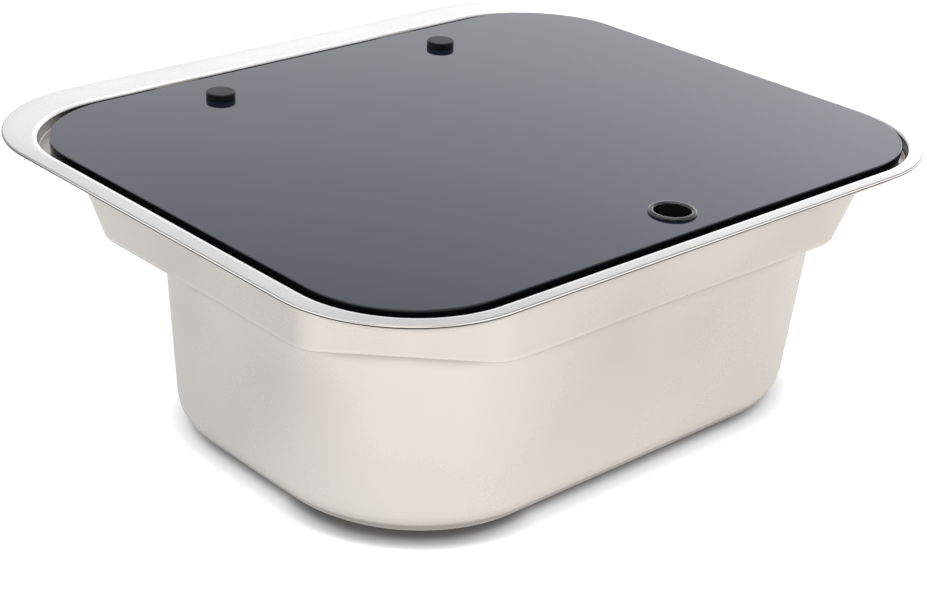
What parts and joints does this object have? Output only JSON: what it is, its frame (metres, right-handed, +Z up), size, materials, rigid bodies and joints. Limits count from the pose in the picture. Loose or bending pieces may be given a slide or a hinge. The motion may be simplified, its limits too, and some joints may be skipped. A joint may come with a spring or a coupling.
{
  "type": "built-in sink with glass lid",
  "caption": "Built-in caravan sink of pressed stainless steel: wide rim, sloping tray with a rear tap ledge, round-cornered bowl, and a hinged black glass lid with a finger hole.",
  "frame": {"origin": "on the floor under the middle of the rim's outline", "axes": "+X along the long side, +Y towards the hinges and the wide rear strip of the rim, +Z up"},
  "size_m": [0.425, 0.367, 0.1563],
  "materials": {
    "pressed_steel": "bright pressed stainless steel, softly brushed rim",
    "black_glass": "black toughened glass, polished, ground edge",
    "black_rubber": "black moulded rubber",
    "black_cap": "black moulded plastic, satin",
    "nylon": "natural nylon",
    "hinge_steel": "stainless sheet, satin",
    "zinc_steel": "bright zinc plated"
  },
  "bodies": {
    "sink": {"sink_body": "pressed_steel", "rest_buffer_left": "black_rubber", "rest_buffer_right": "black_rubber", "hinge_pin_left": "zinc_steel", "hinge_pin_right": "zinc_steel", "pin_clip_left": "zinc_steel", "pin_clip_right": "zinc_steel", "hinge_spacers_left": "nylon", "hinge_spacers_right": "nylon", "hinge_bracket_left": "hinge_steel", "hinge_bracket_right": "hinge_steel", "bracket_screws_left": "zinc_steel", "bracket_screws_right": "zinc_steel", "bracket_washers_left": "zinc_steel", "bracket_washers_right": "zinc_steel", "bracket_nuts_left": "zinc_steel", "bracket_nuts_right": "zinc_steel"},
    "lid": {"lid_glass": "black_glass", "pull_grommet": "black_rubber", "hinge_cap_left": "black_cap", "hinge_cap_right": "black_cap", "clamp_disc_left": "zinc_steel", "clamp_disc_right": "zinc_steel", "lid_bolt_left": "zinc_steel", "lid_bolt_right": "zinc_steel", "glass_bush_left": "nylon", "glass_bush_right": "nylon", "leaf_pad_left": "black_rubber", "leaf_pad_right": "black_rubber", "hinge_leaf_left": "hinge_steel", "hinge_leaf_right": "hinge_steel", "bolt_washer_left": "zinc_steel", "bolt_washer_right": "zinc_steel", "bolt_nut_left": "zinc_steel", "bolt_nut_right": "zinc_steel"}
  },
  "joints": [
    {"name": "lid_hinge", "type": "hinge", "parent": "sink", "child": "lid", "pos_m": [0, 0.1526, 0.1473], "axis": [-1, 0, 0], "range_deg": [0, 90]}
  ]
}
